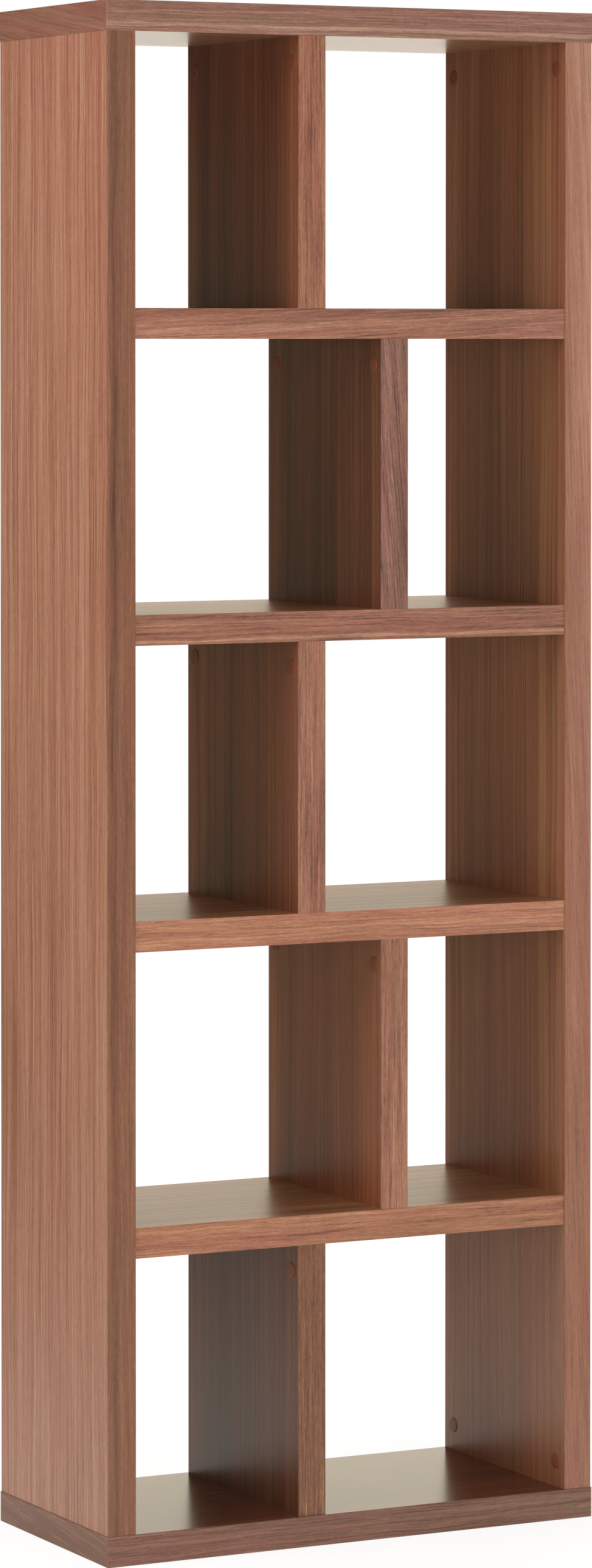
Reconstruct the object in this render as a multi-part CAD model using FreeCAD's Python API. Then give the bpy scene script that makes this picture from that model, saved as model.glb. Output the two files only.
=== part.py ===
import FreeCAD, Part
import math
import os

# Zigzag bookcase: a tall case, open at the front and the back, whose rows are each parted by one
# upright that stands left and right of the middle in turn. The boards are veneered, with their
# edges lipped, and are pulled together by cam fittings under round cover caps.
# The origin is on the floor below the middle of the case. +Z is up, the front faces -Y, and +X is
# to the right of someone who faces the front. All sizes are in millimetres.

# Case
case_width = 704.0
case_depth = 330.0
row_height = 349.0
row_count = 5
board_thickness = 39.0

# Places of the boards against each other
panel_overhang = 1.0  # top and bottom boards past the sides, on every edge
shelf_setback = 3.0  # shelves and dividers behind the edges of the sides
divider_offset = 60.0  # middle of a divider from the middle of the case

# Lipping strips that close the edges of the boards, with their arrises taken off
lipping_thickness = 2.0
arris_width = 0.8

# Cam fittings: a cam in the face of one board draws in a bolt that is screwed into the next
fitting_edge = 24.0  # drilling lines from the front and back edges of the sides
cam_setback = 34.0  # middle of the cam from the end of its board
cam_bore_diameter = 15.0
cam_clearance = 0.1
cam_floor = 5.5  # from the bolt's axis to the bottom of the cam bore
cam_sink = 0.4  # top of the cam below the face
cam_recess_span = 9.0  # arms of the driver cross in the top of the cam
cam_recess_width = 2.0
cam_recess_depth = 2.5
bolt_width = 7.0
bolt_clearance = 0.3
bolt_head_length = 3.0
bolt_neck_width = 4.5
screw_width = 5.0
screw_length = 11.0
screw_clearance = 0.1
screw_end_gap = 0.5
cap_diameter = 20.0
cap_thickness = 1.2

# Dowels that hold the shelf ends and the divider feet in place
dowel_width = 8.0
dowel_length = 35.0
dowel_clearance = 0.1
dowel_end_gap = 0.5
dowel_spacing = 32.0  # dowel lines inside the drilling lines of the cam fittings

# Fittings are many and lie inside the boards, so their round parts are drawn with flat sides
bar_sides = 6  # bolts, dowels and their bores
cam_sides = 24

# Levels and faces that follow from the sizes above
case_height = row_count * row_height + (row_count + 1) * board_thickness
row_pitch = row_height + board_thickness
half_board = board_thickness / 2
half_width = case_width / 2
half_depth = case_depth / 2
side_outer = half_width - panel_overhang
side_inner = side_outer - board_thickness
side_half_depth = half_depth - panel_overhang
side_span = (board_thickness, case_height - board_thickness)
shelf_half_depth = side_half_depth - shelf_setback
fitting_line = side_half_depth - fitting_edge
dowel_line = fitting_line - dowel_spacing
arris = min(arris_width, 0.45 * lipping_thickness)

along_x = FreeCAD.Vector(1, 0, 0)
along_z = FreeCAD.Vector(0, 0, 1)

boards = {}
bores = {}
groups = {}


def block(corner, opposite):
    low = FreeCAD.Vector(*[min(pair) for pair in zip(corner, opposite)])
    size = [abs(a - b) for a, b in zip(corner, opposite)]
    return Part.makeBox(size[0], size[1], size[2], low)


def rod(diameter, start, direction, length):
    return Part.makeCylinder(diameter / 2, length, start, direction)


# Distance from the axis of a bar to its corners, where width is measured across its flats
def corner_radius(width, sides=bar_sides):
    return width / 2 / math.cos(math.pi / sides)


def bar(width, start, direction, length, sides=bar_sides):
    ring = []
    for corner in range(sides + 1):
        turn = 2 * math.pi * corner / sides
        ring.append(FreeCAD.Vector(math.cos(turn), math.sin(turn), 0) * corner_radius(width, sides))
    solid = Part.Face(Part.makePolygon(ring)).extrude(along_z * length)
    solid.Placement = FreeCAD.Placement(start, FreeCAD.Rotation(along_z, direction))
    return solid


def add_group(name, solid):
    groups.setdefault(name, []).append(solid)


def add_board(name, solid):
    boards[name] = solid
    bores[name] = []


# Takes the arrises off the edges of a strip whose middles is_exposed picks out
def eased(strip, is_exposed):
    edges = [edge for edge in strip.Edges if is_exposed(edge.CenterOfMass)]
    return strip.makeChamfer(arris, edges)


# A board between the two strips on its front and back edges. run is the direction of its grain,
# along which the strips have their long arrises.
def lipped_board(name, x_span, half_y, z_span, run):
    core_y = half_y - lipping_thickness
    add_board(name, block((x_span[0], -core_y, z_span[0]), (x_span[1], core_y, z_span[1])))
    middle = FreeCAD.Vector(sum(x_span) / 2, 0, sum(z_span) / 2)
    for front in (-half_y, half_y):
        glue_line = math.copysign(core_y, front)
        strip = block((x_span[0], front, z_span[0]), (x_span[1], glue_line, z_span[1]))

        def is_exposed(point):
            on_front = abs(point.y - front) < arris / 2
            return on_front and abs((point - middle).dot(run)) < arris / 2

        add_group(name + "_lipping", eased(strip, is_exposed))


# The top and bottom boards show all four edges: the front and back strips cover the end strips
def lipped_panel(name, low, high):
    core_x = half_width - lipping_thickness
    core_y = half_depth - lipping_thickness
    add_board(name, block((-core_x, -core_y, low), (core_x, core_y, high)))
    for out in (-1, 1):
        front = out * half_depth
        end = out * half_width
        long_strip = block((-half_width, out * core_y, low), (half_width, front, high))
        end_strip = block((out * core_x, -core_y, low), (end, core_y, high))

        def shows_on_long_strip(point):
            return abs(point.y - out * core_y) > arris / 2

        def shows_on_end_strip(point):
            return abs(point.x - end) < arris / 2 and abs(point.y) < arris / 2

        add_group(name + "_lipping", eased(long_strip, shows_on_long_strip))
        add_group(name + "_lipping", eased(end_strip, shows_on_end_strip))


# face is the point on the host's face above the middle of the cam, normal points out of that face
# and pull points along the bolt, from the cam to the mate that it is drawn against
def cam_fitting(family, host, mate, face, normal, pull):
    across = pull.cross(normal)
    bore_depth = half_board + cam_floor
    bore_bottom = face - normal * bore_depth
    middle = face - normal * half_board
    joint = middle + pull * cam_setback
    bolt_bore = bolt_width + 2 * bolt_clearance
    screw_bore = screw_width + 2 * screw_clearance
    bores[host].append(rod(cam_bore_diameter, face, -normal, bore_depth))
    bores[host].append(bar(bolt_bore, middle, pull, cam_setback))
    bores[mate].append(bar(screw_bore, joint, pull, screw_length + screw_end_gap))

    # Below the driver cross in its top, the cam is a fork: its prongs pass either side of the bolt's
    # neck and bear on the back of the head, which lies in a pocket that is open at the bottom
    half_head = bolt_head_length / 2
    head_reach = corner_radius(bolt_bore)
    neck_reach = corner_radius(bolt_neck_width) + bolt_clearance
    cam_top = face - normal * cam_sink
    hollows = []
    for arm, side in ((across, pull), (pull, across)):
        half_arm = (arm * cam_recess_span + side * cam_recess_width) / 2
        hollows.append(block(cam_top + half_arm, cam_top - half_arm - normal * cam_recess_depth))
    pocket = block(
        middle + (across + normal) * head_reach - pull * (half_head + bolt_clearance),
        bore_bottom - across * head_reach + pull * half_head,
    )
    fork_gap = block(
        middle + (across + normal) * neck_reach,
        bore_bottom - across * neck_reach + pull * cam_bore_diameter,
    )
    cam_width = cam_bore_diameter - 2 * cam_clearance
    cam = bar(cam_width, cam_top, -normal, bore_depth - cam_sink, cam_sides)
    add_group(family + "_cams", cam.cut(hollows + [pocket, fork_gap]))

    # Head, neck, shank and screw end of the bolt, each with the distance from the cam's axis to
    # its far end
    bolt_end = middle - pull * half_head
    bolt = []
    for width, far_end in (
        (bolt_width, half_head),
        (bolt_neck_width, cam_bore_diameter / 2),
        (bolt_width, cam_setback),
        (screw_width, cam_setback + screw_length),
    ):
        next_end = middle + pull * far_end
        bolt.append(bar(width, bolt_end, pull, (next_end - bolt_end).Length))
        bolt_end = next_end
    add_group(family + "_bolts", bolt[0].fuse(bolt[1:]))
    add_group(family + "_caps", rod(cap_diameter, face, normal, cap_thickness))


# joint is the point where the dowel crosses from one board into the other, along run
def dowel(family, first, second, joint, run):
    half_bore = dowel_length / 2 + dowel_end_gap
    bore = bar(dowel_width + 2 * dowel_clearance, joint - run * half_bore, run, 2 * half_bore)
    bores[first].append(bore)
    bores[second].append(bore)
    start = joint - run * (dowel_length / 2)
    add_group(family + "_dowels", bar(dowel_width, start, run, dowel_length))


# The sides stand between the bottom and top boards, drawn against them
lipped_panel("bottom_panel", 0, side_span[0])
lipped_panel("top_panel", side_span[1], case_height)
for side, out in (("left_side", -1), ("right_side", 1)):
    x_span = sorted((out * side_inner, out * side_outer))
    lipped_board(side, x_span, side_half_depth, side_span, along_z)
    for mate, end, pull in (
        ("bottom_panel", side_span[0], -along_z),
        ("top_panel", side_span[1], along_z),
    ):
        for y in (-fitting_line, fitting_line):
            face = FreeCAD.Vector(out * side_inner, y, end) - pull * cam_setback
            cam_fitting("side", side, mate, face, along_x * -out, pull)

# Shelves are counted from the top, and each stands on dowels in the sides
for number in range(1, row_count):
    shelf = "shelf_%d" % number
    shelf_top = case_height - number * row_pitch
    z_span = (shelf_top - board_thickness, shelf_top)
    lipped_board(shelf, (-side_inner, side_inner), shelf_half_depth, z_span, along_x)
    for side, end in (("left_side", -side_inner), ("right_side", side_inner)):
        for y in (-dowel_line, dowel_line):
            joint = FreeCAD.Vector(end, y, shelf_top - half_board)
            dowel("shelf", shelf, side, joint, along_x)

# Dividers stand left of the middle in odd rows and right of it in even ones. Cams draw the top of
# each against the board above, and dowels hold its foot.
for number in range(1, row_count + 1):
    divider = "divider_%d" % number
    above = "top_panel" if number == 1 else "shelf_%d" % (number - 1)
    below = "bottom_panel" if number == row_count else "shelf_%d" % number
    foot = case_height - number * row_pitch
    head = foot + row_height
    middle_x = -divider_offset if number % 2 else divider_offset
    left_face = middle_x - half_board
    x_span = (left_face, middle_x + half_board)
    lipped_board(divider, x_span, shelf_half_depth, (foot, head), along_z)
    for y in (-fitting_line, fitting_line):
        face = FreeCAD.Vector(left_face, y, head - cam_setback)
        cam_fitting("divider", divider, above, face, -along_x, along_z)
    for y in (-dowel_line, dowel_line):
        dowel("divider", divider, below, FreeCAD.Vector(middle_x, y, foot), along_z)

os.makedirs("parts", exist_ok=True)
for name, board in boards.items():
    board.cut(bores[name]).exportStep("parts/%s.step" % name)
for name, solids in groups.items():
    Part.makeCompound(solids).exportStep("parts/%s.step" % name)
print("case", case_width, case_depth, case_height, "nodes", len(boards) + len(groups))
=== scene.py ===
import math
import bmesh
import bpy
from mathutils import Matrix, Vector


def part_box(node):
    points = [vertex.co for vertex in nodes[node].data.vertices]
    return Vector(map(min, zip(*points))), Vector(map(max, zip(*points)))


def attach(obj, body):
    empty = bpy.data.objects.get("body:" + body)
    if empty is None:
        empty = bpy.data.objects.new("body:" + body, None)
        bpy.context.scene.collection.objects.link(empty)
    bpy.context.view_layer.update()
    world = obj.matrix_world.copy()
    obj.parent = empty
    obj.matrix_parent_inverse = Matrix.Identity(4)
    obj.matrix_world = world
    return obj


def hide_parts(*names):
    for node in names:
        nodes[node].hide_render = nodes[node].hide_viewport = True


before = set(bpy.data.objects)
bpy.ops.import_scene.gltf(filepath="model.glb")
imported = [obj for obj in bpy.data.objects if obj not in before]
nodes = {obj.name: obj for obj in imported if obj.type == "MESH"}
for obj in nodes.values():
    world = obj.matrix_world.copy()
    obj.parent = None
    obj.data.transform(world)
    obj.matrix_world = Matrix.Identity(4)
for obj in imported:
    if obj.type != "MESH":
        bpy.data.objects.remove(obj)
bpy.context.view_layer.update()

scene = bpy.context.scene
mm = 0.001
weldGap = 0.005 * mm  # corners nearer than this become one after a cut or a join
smoothAngle = math.radians(35)  # edges that turn by more than this stay crisp
flatFace = 0.99  # a face whose normal has this share along Z is level
quarterTurn = math.pi / 2
print("frame loaded with", len(nodes), "nodes")


# sRGB hex to the linear colour that sockets take
def hexColour(text):
    channels = [int(text[i:i + 2], 16) / 255 for i in (1, 3, 5)]
    linear = [c / 12.92 if c <= 0.04045 else ((c + 0.055) / 1.055) ** 2.4 for c in channels]
    return (*linear, 1.0)


# adds one node: settings go to its inputs or properties, links to its inputs, stops to its ramp
def addNode(tree, kind, settings=(), links=(), stops=()):
    node = tree.nodes.new(kind)
    for name, value in dict(settings).items():
        if isinstance(name, int) or name in node.inputs:
            node.inputs[name].default_value = value
        else:
            setattr(node, name, value)
    for name, socket in dict(links).items():
        tree.links.new(socket, node.inputs[name])
    for i, (place, colour) in enumerate(stops):  # a new ramp has two stops already
        stop = node.color_ramp.elements[i] if i < 2 else node.color_ramp.elements.new(place)
        stop.position = place
        stop.color = colour
    return node


def newMaterial(name):
    material = bpy.data.materials.new(name)
    material.use_nodes = True
    material.node_tree.nodes.clear()
    return material, material.node_tree


def dress(piece, material):
    piece.data.materials.clear()
    piece.data.materials.append(material)


# in edit mode, selects the corners, edges or faces that pass the test
def pick(piece, kind, test):
    bpy.ops.mesh.select_mode(type=kind)
    bpy.ops.mesh.select_all(action="DESELECT")
    shape = bmesh.from_edit_mesh(piece.data)
    for part in {"VERT": shape.verts, "EDGE": shape.edges, "FACE": shape.faces}[kind]:
        part.select_set(test(part))
    bmesh.update_edit_mesh(piece.data)


# puts the place, turn and size of the object in hand into its mesh
def applyPlace():
    bpy.ops.object.transform_apply(location=True, rotation=True, scale=True)


# a block between two corners, which is then shaped or cuts a hollow
def addBlock(low, high):
    bpy.ops.object.select_all(action="DESELECT")
    bpy.ops.mesh.primitive_cube_add(size=1, location=(low + high) / 2)
    block = bpy.context.object
    block.scale = high - low
    applyPlace()
    return block


# a turned piece: a disc drawn out and scaled from each (radius, height) of its profile to the next
def addTurned(profile, sides):
    radius, height = profile[0]
    bpy.ops.object.select_all(action="DESELECT")
    bpy.ops.mesh.primitive_circle_add(vertices=sides, radius=radius * mm, fill_type="NGON",
                                      location=(0, 0, height * mm))
    piece = bpy.context.object
    applyPlace()
    bpy.ops.object.mode_set(mode="EDIT")
    bpy.ops.mesh.select_all(action="SELECT")
    for nextRadius, nextHeight in profile[1:]:
        rise = (0, 0, (nextHeight - height) * mm)
        share = nextRadius / radius
        bpy.ops.mesh.extrude_region_move(TRANSFORM_OT_translate={"value": rise})
        bpy.ops.transform.resize(value=(share, share, 1), center_override=(0, 0, nextHeight * mm))
        radius, height = nextRadius, nextHeight
    bpy.ops.mesh.select_all(action="SELECT")
    bpy.ops.mesh.normals_make_consistent(inside=False)
    bpy.ops.object.mode_set(mode="OBJECT")
    return piece


# profile of a rod with bevelled ends, to be turned
def rodProfile(radius, bevel, low, high):
    return ((radius - bevel, low), (radius, low + bevel), (radius, high - bevel), (radius - bevel, high))


# adds another piece to this one, or cuts it away
def combine(piece, other, operation):
    modifier = piece.modifiers.new("combine", "BOOLEAN")
    modifier.operation = operation
    modifier.solver = "EXACT"
    modifier.object = other
    bpy.context.view_layer.objects.active = piece
    bpy.ops.object.modifier_apply(modifier=modifier.name)
    bpy.data.objects.remove(other)
    bpy.ops.object.mode_set(mode="EDIT")
    bpy.ops.mesh.select_all(action="SELECT")
    bpy.ops.mesh.remove_doubles(threshold=weldGap)
    bpy.ops.mesh.dissolve_degenerate(threshold=weldGap)
    bpy.ops.object.mode_set(mode="OBJECT")


def smoothShade(piece):
    bpy.ops.object.select_all(action="DESELECT")
    piece.select_set(True)
    bpy.context.view_layer.objects.active = piece
    bpy.ops.object.shade_smooth_by_angle(angle=smoothAngle)


def placeCopy(master, name, place, turn):
    bpy.ops.object.select_all(action="DESELECT")
    master.select_set(True)
    bpy.context.view_layer.objects.active = master
    bpy.ops.object.duplicate()
    copy = bpy.context.object
    copy.name = name
    copy.data.name = name
    copy.location = place
    copy.rotation_euler = turn
    applyPlace()
    return copy


def joinPieces(pieces, name):
    bpy.ops.object.select_all(action="DESELECT")
    for piece in pieces:
        piece.select_set(True)
    bpy.context.view_layer.objects.active = pieces[0]
    bpy.ops.object.join()
    pieces[0].name = name
    pieces[0].data.name = name
    return pieces[0]


# the piece stands for a node: it hangs under the root, and the node is hidden
def standFor(piece, node):
    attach(piece, "root")
    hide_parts(node)


# American walnut, sliced veneer under satin lacquer. The eye gets straight streaks in pink and tan
# browns, thin dark ring lines, open pores as short dark dashes, and a sheen that turns to a mirror
# at low angles. Sizes are in mm, and bands are the noise levels between which a pattern comes in.
walnut = {
    "toneStops": (0.1, 0.5, 0.9),
    "streakDetail": 2.0,
    "throughShare": 0.5,  # streaks change half as fast through the leaf as across it
    "waveDetail": 3.0,
    "waveShare": 4,  # lines wander four times faster across the leaf than along it
    "hueBand": (0.4, 0.6),
    "hueDetail": 4.0,
    "ringDrift": 3.0,  # ring spacings that the lines may drift by
    "ringShade": 0.55,  # share of a ring that its dark line fades out over
    "ringBand": (0.36, 0.64),
    "pore": (10, 1.0),  # along and across the grain; real pores are 0.3 mm wide, drawn wider to show
    "poreBand": (0.37, 0.30),
    "poreDetail": 1.0,
    "poreTone": 0.2,
    "poreDull": 0.015,
    "poreBump": 0.025,
    "poreDepth": 0.1,
    "ior": 1.5,
}
# leaves: dark, middle and pale, for a pink and a tan streak. Most are leaves from different logs; the red
# and russet leaves are deeper, redder copies for the boards inside the case, painted shade and bounce
# light
leaves = {
    "pale": (("#6E4234", "#A46C58", "#C68D75"), ("#6E4735", "#A47359", "#C89877")),
    "tawny": (("#804634", "#A46C58", "#BA8A75"), ("#804834", "#A47059", "#BB9076")),
    "honey": (("#6E4430", "#A47050", "#C6926A"), ("#6E4830", "#A47650", "#C89A6C")),
    "shadedRed": (("#603224", "#92573F", "#B6785B"), ("#5E3726", "#905E42", "#B6815C")),
    "shadedRusset": (("#603020", "#925439", "#B67453"), ("#5E3322", "#90573A", "#B67853")),
    "rose": (("#684036", "#9C6857", "#C28E7B"), ("#684638", "#9C6F5A", "#C4977F")),
    "umber": (("#553325", "#855844", "#AE8065"), ("#553728", "#865D47", "#B0886A")),
    "plum": (("#5C3C35", "#8F6257", "#BC8F82"), ("#5E4438", "#8F6A5B", "#BE9887")),
}
# how a leaf was sliced: layers of streaks as mm along the grain, mm across it and share of the tone;
# the other sizes are in mm too, and those in pairs run along and across
figures = {
    "straight": {
        "layers": ((1700, 70, 0.25), (1400, 14, 0.4), (600, 5, 0.8), (180, 2, 0.9), (24, 0.9, 0.6),
                   (6, 0.8, 0.45)),
        "hue": (1600, 12),
        "ringSpacing": 4.5, "ringWander": (900, 30), "ringFade": (500, 12),
        "waveLength": 420, "waveWidth": 20,
    },
    "banded": {
        "layers": ((1700, 70, 0.6), (1500, 24, 0.65), (1200, 9, 0.5), (700, 3.5, 0.7), (40, 1.2, 0.5)),
        "hue": (1200, 18),
        "ringSpacing": 9.0, "ringWander": (900, 30), "ringFade": (500, 20),
        "waveLength": 420, "waveWidth": 20,
    },
    "veiled": {
        "layers": ((1700, 70, 0.3), (1500, 24, 0.3), (1200, 9, 0.5), (700, 3.5, 0.8), (40, 1.2, 0.5)),
        "hue": (1200, 18),
        "ringSpacing": 6.0, "ringWander": (900, 30), "ringFade": (500, 20),
        "waveLength": 420, "waveWidth": 20,
    },
    "dashed": {
        "layers": ((700, 40, 0.4), (350, 9, 0.45), (180, 3.6, 0.6), (70, 1.8, 0.65), (14, 0.9, 0.55),
                   (5, 0.8, 0.45)),
        "hue": (600, 10),
        "ringSpacing": 4.0, "ringWander": (260, 16), "ringFade": (110, 7),
        "waveLength": 150, "waveWidth": 8,
    },
}


# place in the leaf: along the grain, across it and through it, with lines that wander to the side
def grainPlace(tree, figure, along, across, cut, slant):
    through = ({"X", "Y", "Z"} - {along, across}).pop()
    coords = addNode(tree, "ShaderNodeTexCoord")
    axes = addNode(tree, "ShaderNodeSeparateXYZ", {}, {0: coords.outputs["Object"]})
    picked = {i: axes.outputs[axis] for i, axis in enumerate((along, across, through))}
    grain = addNode(tree, "ShaderNodeCombineXYZ", {}, picked)
    placed = addNode(
        tree, "ShaderNodeMapping",
        {"Location": (cut[0] * mm, cut[1] * mm, 0), "Rotation": (0, 0, math.radians(slant))},
        {"Vector": grain.outputs[0]})
    waves = 1 / (figure["waveLength"] * mm)
    wavesAcross = waves * walnut["waveShare"]
    stretched = addNode(tree, "ShaderNodeVectorMath",
                        {"operation": "MULTIPLY", 1: (waves, wavesAcross, wavesAcross)},
                        {0: placed.outputs[0]})
    wander = addNode(tree, "ShaderNodeTexNoise", {"Scale": 1.0, "Detail": walnut["waveDetail"]},
                     {"Vector": stretched.outputs[0]})
    centred = addNode(tree, "ShaderNodeVectorMath", {"operation": "SUBTRACT", 1: (0.5, 0.5, 0.5)},
                      {0: wander.outputs["Color"]})
    bent = addNode(tree, "ShaderNodeVectorMath",
                   {"operation": "MULTIPLY_ADD", 1: (0, figure["waveWidth"] * mm, 0)},
                   {0: centred.outputs[0], 2: placed.outputs[0]})
    return bent.outputs[0]


# one pattern of the grain, as long and as wide as given in mm
def grainPattern(tree, grain, length, width, detail):
    scale = (1 / length / mm, 1 / width / mm, walnut["throughShare"] / width / mm)
    sized = addNode(tree, "ShaderNodeVectorMath", {"operation": "MULTIPLY", 1: scale}, {0: grain})
    noise = addNode(tree, "ShaderNodeTexNoise", {"Scale": 1.0, "Detail": detail},
                    {"Vector": sized.outputs[0]})
    return noise.outputs["Fac"]


# ring lines, dark at one edge and fading out to the other, on a ground of the given tone
def ringTone(tree, grain, sideways, figure, ground, rings):
    fine = walnut["streakDetail"]
    phase = addNode(tree, "ShaderNodeMath", {"operation": "MULTIPLY", 1: walnut["ringDrift"]},
                    {0: grainPattern(tree, grain, *figure["ringWander"], fine)})
    count = addNode(tree, "ShaderNodeMath",
                    {"operation": "MULTIPLY_ADD", 1: 1 / figure["ringSpacing"] / mm},
                    {0: sideways, 2: phase.outputs[0]})
    year = addNode(tree, "ShaderNodeMath", {"operation": "FRACT"}, {0: count.outputs[0]})
    late = addNode(tree, "ShaderNodeMapRange",
                   {"interpolation_type": "SMOOTHSTEP", 1: walnut["ringShade"], 2: 0.0},
                   {0: year.outputs[0]})
    faint, full = walnut["ringBand"]
    strength = addNode(tree, "ShaderNodeMapRange", {1: faint, 2: full, 3: 0.0, 4: -rings},
                       {0: grainPattern(tree, grain, *figure["ringFade"], fine)})
    tone = addNode(tree, "ShaderNodeMath", {"operation": "MULTIPLY_ADD", 2: ground},
                   {0: late.outputs[0], 1: strength.outputs[0]})
    return tone.outputs[0]


# along and across name the axes of the face, and cut is where the leaf comes from in the log (mm).
# slant turns the grain (degrees), tone lightens it, contrast sets how far its streaks differ, rings
# how dark its ring lines are and roughness how dull the lacquer is. Each of the streaks is one more
# band, paler or darker, given by its place across and half its width (mm) and its strength.
def walnutMaterial(name, along, across, cut, leaf="pale", figure="straight", slant=0.0, tone=0.0,
                   contrast=1.0, rings=0.2, roughness=0.33, streaks=()):
    sliced = figures[figure]
    material, tree = newMaterial(name)
    grain = grainPlace(tree, sliced, along, across, cut, slant)
    sideways = addNode(tree, "ShaderNodeSeparateXYZ", {}, {0: grain}).outputs[1]

    # ring lines, streaks of every width and single bands add up to one tone
    tones = ringTone(tree, grain, sideways, sliced, walnut["toneStops"][1] + tone, rings)
    levels = []
    for length, width, share in sliced["layers"]:
        reach = share * contrast / 2
        levels.append(addNode(
            tree, "ShaderNodeMapRange", {"clamp": False, 3: -reach, 4: reach},
            {0: grainPattern(tree, grain, length, width, walnut["streakDetail"])}))
    for place, halfWidth, strength in streaks:
        offset = addNode(tree, "ShaderNodeMath", {"operation": "SUBTRACT", 1: (place + cut[1]) * mm},
                         {0: sideways})
        apart = addNode(tree, "ShaderNodeMath", {"operation": "ABSOLUTE"}, {0: offset.outputs[0]})
        levels.append(addNode(
            tree, "ShaderNodeMapRange",
            {"interpolation_type": "SMOOTHSTEP", 1: halfWidth * mm, 2: 0.0, 3: 0.0, 4: strength},
            {0: apart.outputs[0]}))
    for level in levels:
        total = addNode(tree, "ShaderNodeMath", {"operation": "ADD"}, {0: tones, 1: level.outputs[0]})
        tones = total.outputs[0]

    # pink and tan streaks
    ramps = []
    for hues in leaves[leaf]:
        stops = [(stop, hexColour(hue)) for stop, hue in zip(walnut["toneStops"], hues)]
        ramps.append(addNode(tree, "ShaderNodeValToRGB", {}, {0: tones}, stops))
    pink, tan = walnut["hueBand"]
    hueShare = addNode(tree, "ShaderNodeMapRange", {1: pink, 2: tan},
                       {0: grainPattern(tree, grain, *sliced["hue"], walnut["hueDetail"])})
    ground = addNode(tree, "ShaderNodeMix", {"data_type": "RGBA"},
                     {0: hueShare.outputs[0], 6: ramps[0].outputs[0], 7: ramps[1].outputs[0]})

    # pores darken the ground, dull the lacquer and dent it
    poreRim, poreMiddle = walnut["poreBand"]
    pore = addNode(tree, "ShaderNodeMapRange", {1: poreRim, 2: poreMiddle},
                   {0: grainPattern(tree, grain, *walnut["pore"], walnut["poreDetail"])})
    shade = addNode(tree, "ShaderNodeMapRange", {3: 1.0, 4: 1.0 - walnut["poreTone"]},
                    {0: pore.outputs[0]})
    wood = addNode(tree, "ShaderNodeMix", {"data_type": "RGBA", "blend_type": "MULTIPLY", 0: 1.0},
                   {6: ground.outputs[2], 7: shade.outputs[0]})
    dull = addNode(tree, "ShaderNodeMapRange", {3: roughness, 4: roughness + walnut["poreDull"]},
                   {0: pore.outputs[0]})
    dent = addNode(
        tree, "ShaderNodeBump",
        {"Strength": walnut["poreBump"], "Distance": walnut["poreDepth"] * mm, "invert": True},
        {"Height": pore.outputs[0]})
    shader = addNode(tree, "ShaderNodeBsdfPrincipled", {"IOR": walnut["ior"]}, {
        "Base Color": wood.outputs[2], "Roughness": dull.outputs[0], "Normal": dent.outputs[0]})
    addNode(tree, "ShaderNodeOutputMaterial", {}, {"Surface": shader.outputs[0]})
    return material


# the grain of an upright board runs up it, and that of a level one from side to side
def grainAxis(board):
    low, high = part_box(board)
    return "Z" if high.z - low.z > high.x - low.x else "X"


# veneer on the faces of each board; the boards inside the case take the red and russet leaves, whose
# deeper red is painted shade and bounce light
boards = {
    "left_side": {"cut": (1480, 920), "leaf": "tawny", "contrast": 1.15, "rings": 0.15, "tone": 0.01},
    "right_side": {"cut": (6680, 2100), "leaf": "shadedRed", "figure": "veiled", "contrast": 0.9, "tone": 0.13},
    "top_panel": {"cut": (900, 3100), "roughness": 0.24},
    "shelf_1": {"cut": (1700, 700), "leaf": "honey"},
    "shelf_2": {"cut": (3400, 1400), "leaf": "honey"},
    "shelf_3": {"cut": (5100, 2100), "leaf": "honey", "tone": -0.06},
    "shelf_4": {"cut": (6800, 2800), "leaf": "honey", "tone": -0.06},
    # the bottom board's low tone is painted shade for the dim floor of the case
    "bottom_panel": {"cut": (2900, 2300), "leaf": "shadedRusset", "tone": -0.38, "roughness": 0.25},
    "divider_1": {"cut": (1670, 740), "leaf": "shadedRusset", "figure": "banded", "contrast": 0.7,
                  "tone": -0.09},
    "divider_2": {"cut": (4450, 2170), "leaf": "shadedRusset", "figure": "banded", "contrast": 0.8,
                  "tone": -0.26},
    "divider_3": {"cut": (5010, 2220), "leaf": "shadedRusset", "figure": "banded", "contrast": 0.8,
                  "tone": -0.09},
    "divider_4": {"cut": (6310, 2730), "leaf": "shadedRusset", "figure": "banded", "contrast": 0.7,
                  "tone": 0.07},
    "divider_5": {"cut": (6500, 2550), "leaf": "shadedRusset", "figure": "banded", "contrast": 0.8,
                  "tone": -0.27},
}
for name, look in boards.items():
    dress(nodes[name], walnutMaterial("walnut veneer " + name, grainAxis(name), "Y", **look))
print("veneered", len(boards), "boards")

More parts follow.
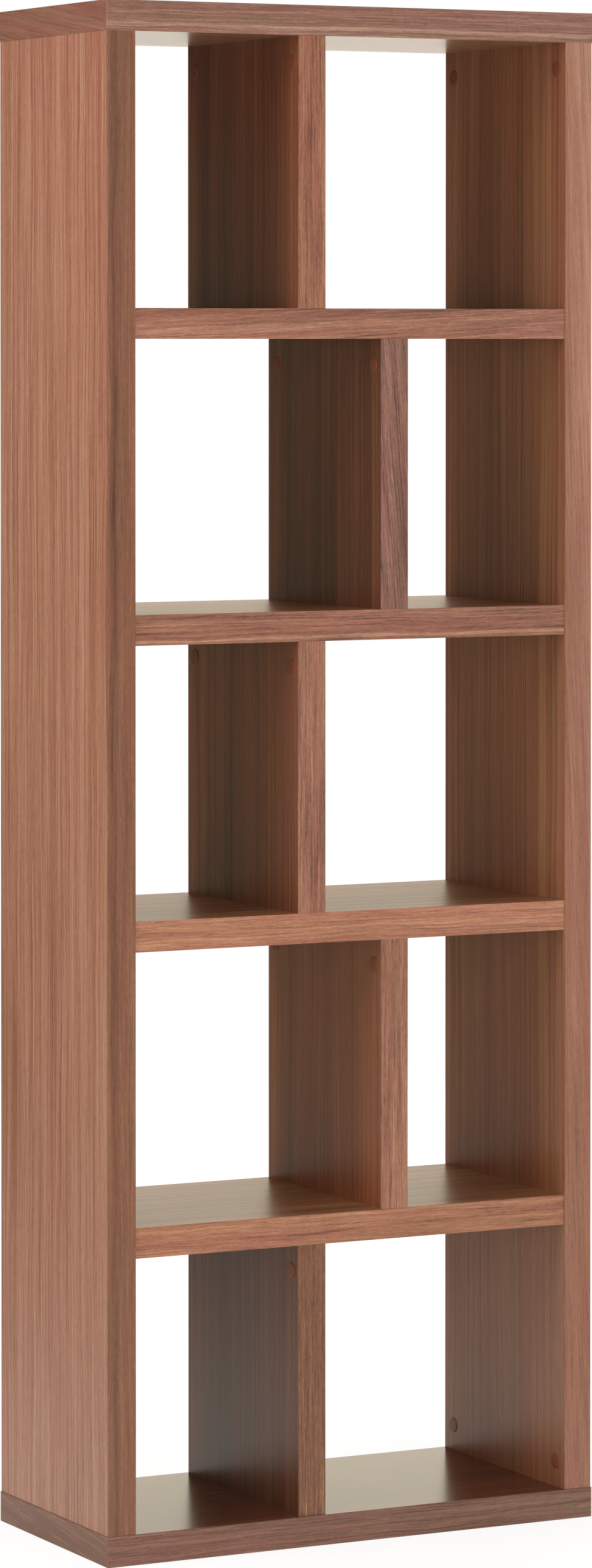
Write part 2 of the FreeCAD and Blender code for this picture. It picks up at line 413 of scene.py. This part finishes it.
# strips on the edges of the boards, thick enough to have their arrises rounded over (mm)
edging = {"thickness": 2.0, "radius": 0.5, "segments": 3}
edges = {
    "left_side": {"cut": (2410, 4850), "leaf": "umber", "contrast": 0.6, "rings": 0.05, "tone": -0.04,
                  "streaks": ((-341, 9, -0.14),)},
    "right_side": {"cut": (6200, 4530), "slant": 2.5, "leaf": "rose", "contrast": 0.6, "rings": 0.1,
                   "tone": -0.04, "streaks": ((430, 75, 0.2),)},
    "top_panel": {"cut": (4150, 6470), "leaf": "plum", "contrast": 0.8, "tone": 0.02,
                  "streaks": ((1949.5, 4, 0.2),)},
    "shelf_1": {"cut": (2840, 5560), "slant": -3.0, "leaf": "rose", "tone": 0.07,
                "streaks": ((1607, 45, -0.16),)},
    "shelf_2": {"cut": (5680, 11120), "leaf": "rose", "contrast": 0.95, "tone": -0.07,
                "streaks": ((1170, 4, 0.2),)},
    "shelf_3": {"cut": (6300, 15300), "tone": 0.06},
    "shelf_4": {"cut": (8400, 20400), "contrast": 0.9, "tone": -0.04},
    "bottom_panel": {"cut": (4100, 5300), "leaf": "plum", "contrast": 0.7, "tone": -0.18},
    "divider_1": {"cut": (1900, 6100), "tone": -0.1},
    "divider_2": {"cut": (3800, 12200), "slant": 5.0, "leaf": "plum", "rings": 0.4, "tone": -0.12},
    "divider_3": {"cut": (7920, 19680), "leaf": "rose", "tone": -0.02},
    "divider_4": {"cut": (7970, 24630), "leaf": "rose", "tone": -0.02},
    "divider_5": {"cut": (9500, 30500), "leaf": "umber", "rings": 0.1, "tone": -0.12},
}
# the top and bottom boards show their ends too
ends = {
    "top_panel": {"cut": (700, 3300), "slant": -8.5, "leaf": "rose", "contrast": 0.45, "rings": 0.1,
                  "tone": -0.14},
    "bottom_panel": {"cut": (1900, 4700), "slant": -6.0, "rings": 0.1, "tone": -0.36},
}


# a strip between two corners, with the edges that shows() picks rounded over
def addStrip(low, high, shows):
    strip = addBlock(low, high)
    bpy.ops.object.mode_set(mode="EDIT")
    pick(strip, "EDGE", lambda edge: shows((edge.verts[0].co + edge.verts[1].co) / 2))
    bpy.ops.mesh.bevel(offset=edging["radius"] * mm, segments=edging["segments"], affect="EDGES")
    bpy.ops.object.mode_set(mode="OBJECT")
    return strip


def joinStrips(strips, name, board, along, across, look):
    strip = joinPieces(strips, name)
    dress(strip, walnutMaterial("walnut lipping " + name, along, across, figure="dashed", **look))
    standFor(strip, board + "_lipping")


near = edging["radius"] * mm / 2  # the middle of an edge this close to a plane lies in it
deep = edging["thickness"] * mm
for board, look in edges.items():
    low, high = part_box(board + "_lipping")
    middle = (low + high) / 2
    along = grainAxis(board)
    run = "XYZ".index(along)
    hasEnds = board in ends
    longStrips = []
    for outer, inner in ((low.y, low.y + deep), (high.y, high.y - deep)):
        front, back = sorted((outer, inner))

        def showsOnLongStrip(point):
            if hasEnds:
                return abs(point.y - inner) > near
            return abs(point.y - outer) < near and abs(point[run] - middle[run]) < near

        longStrips.append(addStrip(Vector((low.x, front, low.z)), Vector((high.x, back, high.z)),
                                   showsOnLongStrip))
    joinStrips(longStrips, board + "_edges", board, along, "X" if along == "Z" else "Z", look)
    if not hasEnds:
        continue
    endStrips = []
    for outer, inner in ((low.x, low.x + deep), (high.x, high.x - deep)):
        left, right = sorted((outer, inner))

        def showsOnEndStrip(point):
            return abs(point.x - outer) < near and abs(point.y - middle.y) < near

        endStrips.append(addStrip(Vector((left, low.y + deep, low.z)),
                                  Vector((right, high.y - deep, high.z)), showsOnEndStrip))
    joinStrips(endStrips, board + "_ends", board, "Y", "Z", ends[board])
print("lipped", len(edges), "boards")

# finishes of the fittings, with a grain that tints, dulls and dents them (mm), drawn coarser than the
# real one so that it shows: moulded ABS has a soft gloss on a plain warm brown, die-cast zinc is dull
# grey with a sandy skin, plated steel is brighter with fine drawn lines, and turned beech is pale and
# dry with short darker flecks
finishes = {
    "abs": {"name": "brown ABS moulded", "dark": "#7C402B", "light": "#8A4C35", "tintBand": (0.3, 0.7),
            "grain": 0.9, "detail": 2.0, "stretch": (1, 1, 1), "roughness": (0.37, 0.5), "bump": 0.15,
            "shader": {"IOR": 1.53}},
    "zinc": {"name": "zinc die-cast", "dark": "#8C8F92", "light": "#B4B6B8", "tintBand": (0.35, 0.65),
             "grain": 0.8, "detail": 3.0, "stretch": (1, 1, 1), "roughness": (0.4, 0.56), "bump": 0.2,
             "shader": {"Metallic": 1.0}},
    "steel": {"name": "steel zinc-plated", "dark": "#9A9B98", "light": "#C6C6BF", "tintBand": (0.35, 0.65),
              "grain": 0.5, "detail": 3.0, "stretch": (1, 1, 0.1), "roughness": (0.22, 0.38), "bump": 0.2,
              "shader": {"Metallic": 1.0}},
    "beechX": {"name": "beech turned along X", "dark": "#B98F66", "light": "#D9B48A",
               "tintBand": (0.35, 0.65), "grain": 0.7, "detail": 3.0, "stretch": (0.08, 1, 1),
               "roughness": (0.57, 0.73), "bump": 0.2, "shader": {}},
    "beechZ": {"name": "beech turned along Z", "dark": "#B98F66", "light": "#D9B48A",
               "tintBand": (0.35, 0.65), "grain": 0.7, "detail": 3.0, "stretch": (1, 1, 0.08),
               "roughness": (0.57, 0.73), "bump": 0.2, "shader": {}},
}
dentDepth = 0.05  # mm, on every fitting
fittingLooks = {}
for key, look in finishes.items():
    material, tree = newMaterial(look["name"])
    coords = addNode(tree, "ShaderNodeTexCoord")
    stretched = addNode(tree, "ShaderNodeMapping", {"Scale": look["stretch"]},
                        {"Vector": coords.outputs["Object"]})
    grain = addNode(tree, "ShaderNodeTexNoise",
                    {"Scale": 1 / look["grain"] / mm, "Detail": look["detail"]},
                    {"Vector": stretched.outputs[0]})
    stops = list(zip(look["tintBand"], (hexColour(look["dark"]), hexColour(look["light"]))))
    tint = addNode(tree, "ShaderNodeValToRGB", {}, {0: grain.outputs["Fac"]}, stops)
    shiny, dull = look["roughness"]
    haze = addNode(tree, "ShaderNodeMapRange", {3: shiny, 4: dull}, {0: grain.outputs["Fac"]})
    dent = addNode(tree, "ShaderNodeBump", {"Strength": look["bump"], "Distance": dentDepth * mm},
                   {"Height": grain.outputs["Fac"]})
    shader = addNode(tree, "ShaderNodeBsdfPrincipled", look["shader"], {
        "Base Color": tint.outputs[0], "Roughness": haze.outputs[0], "Normal": dent.outputs[0]})
    addNode(tree, "ShaderNodeOutputMaterial", {}, {"Surface": shader.outputs[0]})
    fittingLooks[key] = material

# cover cap (mm): a disc with a rounded rim and a shallow dome, and a boss that centres it in the bore
cap = {"diameter": 20.0, "wall": 1.0, "rim": 0.5, "rimSegments": 4, "boss": 14.0, "bossDepth": 0.35,
       "domeRings": ((1.5, 0.09), (2.5, 0.07), (3.0, 0.04)), "sides": 64}  # inset and rise of each ring
bpy.ops.object.select_all(action="DESELECT")
bpy.ops.mesh.primitive_cylinder_add(vertices=cap["sides"], radius=cap["diameter"] / 2 * mm,
                                    depth=cap["wall"] * mm, location=(0, 0, cap["wall"] / 2 * mm))
capMaster = bpy.context.object
applyPlace()
bpy.ops.object.mode_set(mode="EDIT")
pick(capMaster, "EDGE", lambda edge: min(v.co.z for v in edge.verts) > cap["wall"] / 2 * mm)
bpy.ops.mesh.bevel(offset=cap["rim"] * mm, segments=cap["rimSegments"], affect="EDGES")
pick(capMaster, "FACE", lambda face: face.normal.z > flatFace and len(face.verts) == cap["sides"])
for inset, rise in cap["domeRings"]:
    bpy.ops.mesh.inset(thickness=inset * mm, depth=rise * mm)
pick(capMaster, "FACE", lambda face: face.normal.z < -flatFace and len(face.verts) == cap["sides"])
bpy.ops.mesh.inset(thickness=(cap["diameter"] - cap["boss"]) / 2 * mm, depth=0)
bpy.ops.mesh.extrude_region_move(TRANSFORM_OT_translate={"value": (0, 0, -cap["bossDepth"] * mm)})
bpy.ops.object.mode_set(mode="OBJECT")
smoothShade(capMaster)
dress(capMaster, fittingLooks["abs"])

# cam (mm): a drum on the bolt's axis, with a driver cross in its top and a fork that holds the bolt
cam = {"radius": 7.4, "sink": 0.4, "floor": 5.5, "arris": 0.4, "sides": 48,
       "crossSpan": 9.0, "crossWidth": 2.0, "crossDepth": 2.5,
       "headLength": 3.0, "headRoom": 8.8, "neckRoom": 5.8, "clearance": 0.3, "overcut": 1.0}
sideLow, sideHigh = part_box("left_side")
camTop = (sideHigh.x - sideLow.x) / 2 / mm - cam["sink"]
camMaster = addTurned(rodProfile(cam["radius"], cam["arris"], -cam["floor"], camTop), cam["sides"])
halfSpan = cam["crossSpan"] / 2
halfWidth = cam["crossWidth"] / 2
halfHead = cam["headLength"] / 2
headRoom = cam["headRoom"] / 2
neckRoom = cam["neckRoom"] / 2
crossFloor = camTop - cam["crossDepth"]
above = camTop + cam["overcut"]
below = -cam["floor"] - cam["overcut"]
for low, high in (
    ((-halfSpan, -halfWidth, crossFloor), (halfSpan, halfWidth, above)),
    ((-halfWidth, -halfSpan, crossFloor), (halfWidth, halfSpan, above)),
    ((-halfHead - cam["clearance"], -headRoom, below), (halfHead, headRoom, headRoom)),
    ((0, -neckRoom, below), (cam["radius"] + cam["overcut"], neckRoom, neckRoom)),
):
    combine(camMaster, addBlock(Vector(low) * mm, Vector(high) * mm), "DIFFERENCE")
smoothShade(camMaster)

# bolt (mm): radius and height of each step from the head to the point, measured from the cam's axis,
# and a thread of three-sided section wound round its screw end
bolt = {"profile": ((2.6, -1.5), (3.5, -0.9), (3.5, 1.0), (3.0, 1.5), (2.25, 1.5), (2.25, 7.5),
                    (3.0, 7.5), (3.5, 8.0), (3.5, 34.0), (1.9, 34.0), (1.9, 43.6), (0.7, 45.0)),
        "sides": 32, "threadSides": 3, "threadRadius": 2.5, "threadRoot": 1.7, "threadStart": 35.0,
        "pitch": 2.0, "turns": 4, "seamGap": 0.001}
boltMaster = addTurned(bolt["profile"], bolt["sides"])
ridge = (bolt["threadRadius"] - bolt["threadRoot"]) / 1.5  # a triangle is 1.5 times its radius high
ridgePlace = ((bolt["threadRadius"] - ridge) * mm, 0, bolt["threadStart"] * mm)
bpy.ops.object.select_all(action="DESELECT")
bpy.ops.mesh.primitive_circle_add(vertices=bolt["threadSides"], radius=ridge * mm, fill_type="NOTHING",
                                  location=ridgePlace, rotation=(quarterTurn, quarterTurn, 0))
thread = bpy.context.object
applyPlace()
winding = thread.modifiers.new("winding", "SCREW")
winding.screw_offset = bolt["pitch"] * mm
winding.iterations = bolt["turns"]
winding.steps = winding.render_steps = bolt["sides"]
bpy.ops.object.modifier_apply(modifier=winding.name)
thread.rotation_euler.z = math.pi / bolt["sides"]  # so that its edges fall between those of the core
applyPlace()
bpy.ops.object.mode_set(mode="EDIT")
bpy.ops.mesh.select_all(action="SELECT")
bpy.ops.mesh.remove_doubles(threshold=bolt["seamGap"] * mm)
bpy.ops.mesh.fill_holes(sides=bolt["threadSides"])
bpy.ops.mesh.select_all(action="SELECT")
bpy.ops.mesh.normals_make_consistent(inside=False)
bpy.ops.object.mode_set(mode="OBJECT")
combine(boltMaster, thread, "UNION")
smoothShade(boltMaster)

# dowel (mm): a rod with bevelled ends and shallow flutes for the glue
dowel = {"radius": 4.0, "length": 35.0, "bevel": 0.8, "sides": 36, "fluteEvery": 3, "fluteShare": 0.94}
dowelEnd = dowel["length"] / 2
dowelMaster = addTurned(rodProfile(dowel["radius"], dowel["bevel"], -dowelEnd, dowelEnd), dowel["sides"])


def inFlute(corner):
    turn = math.atan2(corner.co.y, corner.co.x) / (2 * math.pi)
    return round(turn * dowel["sides"]) % dowel["fluteEvery"] == 0


bpy.ops.object.mode_set(mode="EDIT")
pick(dowelMaster, "VERT", inFlute)
bpy.ops.transform.resize(value=(dowel["fluteShare"], dowel["fluteShare"], 1), center_override=(0, 0, 0))
bpy.ops.object.mode_set(mode="OBJECT")
smoothShade(dowelMaster)

# where the fittings are drilled (mm): lines in from the edges of the sides, dowel lines further in,
# and cams in from the ends of their boards
drilling = {"edge": 24.0, "setback": 34.0, "dowelStep": 32.0}
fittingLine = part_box("left_side_lipping")[1].y - drilling["edge"] * mm
dowelLine = fittingLine - drilling["dowelStep"] * mm
cams = {"side": [], "divider": []}
bolts = {"side": [], "divider": []}


# one fitting: the cap on a board's face, the cam under it and the bolt that runs into the next board;
# facing is the way the face looks along X, pull the way the bolt runs along Z
def addFitting(family, board, place, y, facing, pull):
    low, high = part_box(board)
    face = high.x if facing > 0 else low.x
    z = (high.z if pull > 0 else low.z) - pull * drilling["setback"] * mm
    cover = placeCopy(capMaster, "cap_%s_%s" % (board, place), (face, y, z), (0, facing * quarterTurn, 0))
    standFor(cover, family + "_caps")
    axis = ((low.x + high.x) / 2, y, z)
    camTurn = (0, -pull * quarterTurn, 0 if pull == -facing else math.pi)
    boltTurn = (0 if pull > 0 else math.pi, 0, 0)
    cams[family].append(placeCopy(camMaster, "cam", axis, camTurn))
    bolts[family].append(placeCopy(boltMaster, "bolt", axis, boltTurn))


dividers = [name for name in boards if name.startswith("divider")]
shelves = [name for name in boards if name.startswith("shelf")]
for row, y in (("front", -fittingLine), ("back", fittingLine)):
    for side, facing in (("left_side", 1), ("right_side", -1)):
        for level, pull in (("low", -1), ("high", 1)):
            addFitting("side", side, row + "_" + level, y, facing, pull)
    for divider in dividers:
        addFitting("divider", divider, row, y, -1, 1)
print("caps pressed in")

shelfDowels = []
dividerDowels = []
for y in (-dowelLine, dowelLine):
    for shelf in shelves:
        low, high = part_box(shelf)
        for x in (low.x, high.x):
            place = (x, y, (low.z + high.z) / 2)
            shelfDowels.append(placeCopy(dowelMaster, "dowel", place, (0, quarterTurn, 0)))
    for divider in dividers:
        low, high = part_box(divider)
        place = ((low.x + high.x) / 2, y, low.z)
        dividerDowels.append(placeCopy(dowelMaster, "dowel", place, (0, 0, 0)))

for copies, name, node, slot, finish in (
    (cams["side"], "cams_in_sides", "side_cams", "cam_zinc", "zinc"),
    (cams["divider"], "cams_in_dividers", "divider_cams", "cam_zinc", "zinc"),
    (bolts["side"], "bolts_in_sides", "side_bolts", "bolt_steel", "steel"),
    (bolts["divider"], "bolts_in_dividers", "divider_bolts", "bolt_steel", "steel"),
    (shelfDowels, "dowels_in_shelves", "shelf_dowels", "dowel_beech", "beechX"),
    (dividerDowels, "dowels_in_dividers", "divider_dowels", "dowel_beech", "beechZ"),
):
    joined = joinPieces(copies, name)
    dress(joined, fittingLooks[finish])
    standFor(joined, node)
for master in (capMaster, camMaster, boltMaster, dowelMaster):
    bpy.data.objects.remove(master)
print("fittings in place")

# white paper floor (m): the camera sees a white glow, dimmed close to the case as painted shade, on paper
# that the lamps light, which adds real shadow; other rays see plain paper, with a painted glow near the
# case that lights it from below
floorLook = {"size": 400.0, "drop": 0.0002, "shadedNearGlow": 0.86, "farGlow": 1.0, "shadeFade": (0.4, 2.0),
             "lit": "#7C7C7C", "bounce": "#DCDAD4", "lift": 0.33, "liftColour": "#F2FFF0",
             "liftFade": (0.8, 2.5)}
bpy.ops.object.select_all(action="DESELECT")
bpy.ops.mesh.primitive_plane_add(size=floorLook["size"], location=(0, 0, -floorLook["drop"]))
floor = bpy.context.object
floor.name = "floor"
paper, tree = newMaterial("white studio paper")
coords = addNode(tree, "ShaderNodeTexCoord")
away = addNode(tree, "ShaderNodeVectorMath", {"operation": "LENGTH"}, {0: coords.outputs["Object"]})
# painted shade: the glow that the camera sees is weaker close to the case
shadeFadeStart, shadeFadeEnd = floorLook["shadeFade"]
shadeFade = addNode(tree, "ShaderNodeMapRange",
               {1: shadeFadeStart, 2: shadeFadeEnd, 3: floorLook["shadedNearGlow"], 4: floorLook["farGlow"]},
               {0: away.outputs["Value"]})
glow = addNode(tree, "ShaderNodeEmission", {}, {"Strength": shadeFade.outputs[0]})
lit = addNode(tree, "ShaderNodeBsdfDiffuse", {"Color": hexColour(floorLook["lit"])})
seen = addNode(tree, "ShaderNodeAddShader", {}, {0: glow.outputs[0], 1: lit.outputs[0]})
plain = addNode(tree, "ShaderNodeBsdfDiffuse", {"Color": hexColour(floorLook["bounce"])})
# painted bounce light: near the case the floor glows for other rays and lights the case from below
liftStart, liftEnd = floorLook["liftFade"]
nearby = addNode(tree, "ShaderNodeMapRange", {1: liftStart, 2: liftEnd, 3: floorLook["lift"], 4: 0.0},
                 {0: away.outputs["Value"]})
lift = addNode(tree, "ShaderNodeEmission", {"Color": hexColour(floorLook["liftColour"])},
               {"Strength": nearby.outputs[0]})
bounce = addNode(tree, "ShaderNodeAddShader", {}, {0: plain.outputs[0], 1: lift.outputs[0]})
rays = addNode(tree, "ShaderNodeLightPath")
both = addNode(tree, "ShaderNodeMixShader", {},
               {0: rays.outputs["Is Camera Ray"], 1: bounce.outputs[0], 2: seen.outputs[0]})
addNode(tree, "ShaderNodeOutputMaterial", {}, {"Surface": both.outputs[0]})
dress(floor, paper)

# white behind the object, and a dim room for everything else
studio = {"colour": "#FFFFFF", "white": 1.0, "dim": 0.06}
world = bpy.data.worlds.new("studio")
scene.world = world
world.use_nodes = True
tree = world.node_tree
tree.nodes.clear()
rays = addNode(tree, "ShaderNodeLightPath")
paint = {"Color": hexColour(studio["colour"])}
white = addNode(tree, "ShaderNodeBackground", {"Strength": studio["white"], **paint})
dim = addNode(tree, "ShaderNodeBackground", {"Strength": studio["dim"], **paint})
sky = addNode(tree, "ShaderNodeMixShader", {},
              {0: rays.outputs["Is Camera Ray"], 1: dim.outputs[0], 2: white.outputs[0]})
addNode(tree, "ShaderNodeOutputWorld", {}, {"Surface": sky.outputs[0]})

# softboxes: places and sizes in metres, power in watts; mirrored ones show in the lacquer
lamps = {
    "left softbox": {"place": (-2.9, -0.3, 2.65), "target": (-0.35, 0, 1.2), "size": (1.8, 2.0),
                     "power": 74.0, "colour": "#FFFFFF", "mirrored": True},
    "left front softbox": {"place": (-2.4, -1.3, 1.6), "target": (0, 0, 1.0), "size": (1.0, 2.2),
                           "power": 9.0, "colour": "#FFD2A0", "mirrored": True},
    "front softbox": {"place": (-0.5, -4.2, 1.5), "target": (0, 0, 1.1), "size": (2.2, 2.2),
                      "power": 112.0, "colour": "#FFF9EF", "mirrored": False},
    "right fill": {"place": (2.7, -3.5, 1.5), "target": (0, 0, 1.0), "size": (2.8, 2.8),
                   "power": 17.0, "colour": "#FFFFFF", "mirrored": True},
    "back softbox low": {"place": (2.4, 3.6, 0.53), "target": (0, 0, 0.5), "size": (3.4, 1.06),
                         "power": 22.3, "colour": "#FFF7E0", "mirrored": True},
    "back softbox middle": {"place": (2.4, 3.6, 1.28), "target": (0, 0, 1.2), "size": (3.4, 0.44),
                            "power": 2.3, "colour": "#FFE3A0", "mirrored": True},
    "back softbox high": {"place": (2.4, 3.6, 1.69), "target": (0, 0, 1.19), "size": (3.4, 0.38),
                          "power": 6.6, "colour": "#FFFFFF", "mirrored": True},
    "back softbox top": {"place": (2.4, 3.6, 2.29), "target": (0, 0, 1.79), "size": (3.4, 0.82),
                         "power": 14.0, "colour": "#FFE2B4", "mirrored": True},
    "back left card": {"place": (-1.5, 2.6, 0.95), "target": (0, 0, 1.05), "size": (1.2, 1.9),
                       "power": 1.9, "colour": "#E4FAC8", "mirrored": True},
    "overhead softbox": {"place": (1.1, 1.0, 3.4), "target": (0.2, 0, 1.0), "size": (2.0, 1.6),
                         "power": 30.0, "colour": "#FFFFFF", "mirrored": True},
}
for name, light in lamps.items():
    bpy.ops.object.light_add(type="AREA", location=light["place"])
    lamp = bpy.context.object
    lamp.name = name
    aim = Vector(light["target"]) - Vector(light["place"])
    lamp.rotation_euler = aim.to_track_quat("-Z", "Y").to_euler()
    lamp.data.shape = "RECTANGLE"
    lamp.data.size, lamp.data.size_y = light["size"]
    lamp.data.energy = light["power"]
    lamp.data.color = hexColour(light["colour"])[:3]
    lamp.visible_camera = False
    lamp.visible_glossy = light["mirrored"]
print("stage and", len(lamps), "softboxes set")

# the photograph's own view: long lens (mm), nearly level (degrees), with the frame shifted down
view = {"place": (-3.4347, -6.6994, 1.5505), "pitch": -0.987, "yaw": -27.139, "lens": 131.8,
        "sensor": 36.0, "shift": -0.2201, "clipEnd": 500.0}
bpy.ops.object.camera_add(location=view["place"])
camera = bpy.context.object
camera.rotation_euler = (quarterTurn + math.radians(view["pitch"]), 0, math.radians(view["yaw"]))
camera.data.lens = view["lens"]
camera.data.sensor_width = view["sensor"]
camera.data.shift_y = view["shift"]
camera.data.clip_end = view["clipEnd"]
scene.camera = camera
scene.view_settings.view_transform = "Standard"
print("camera set")
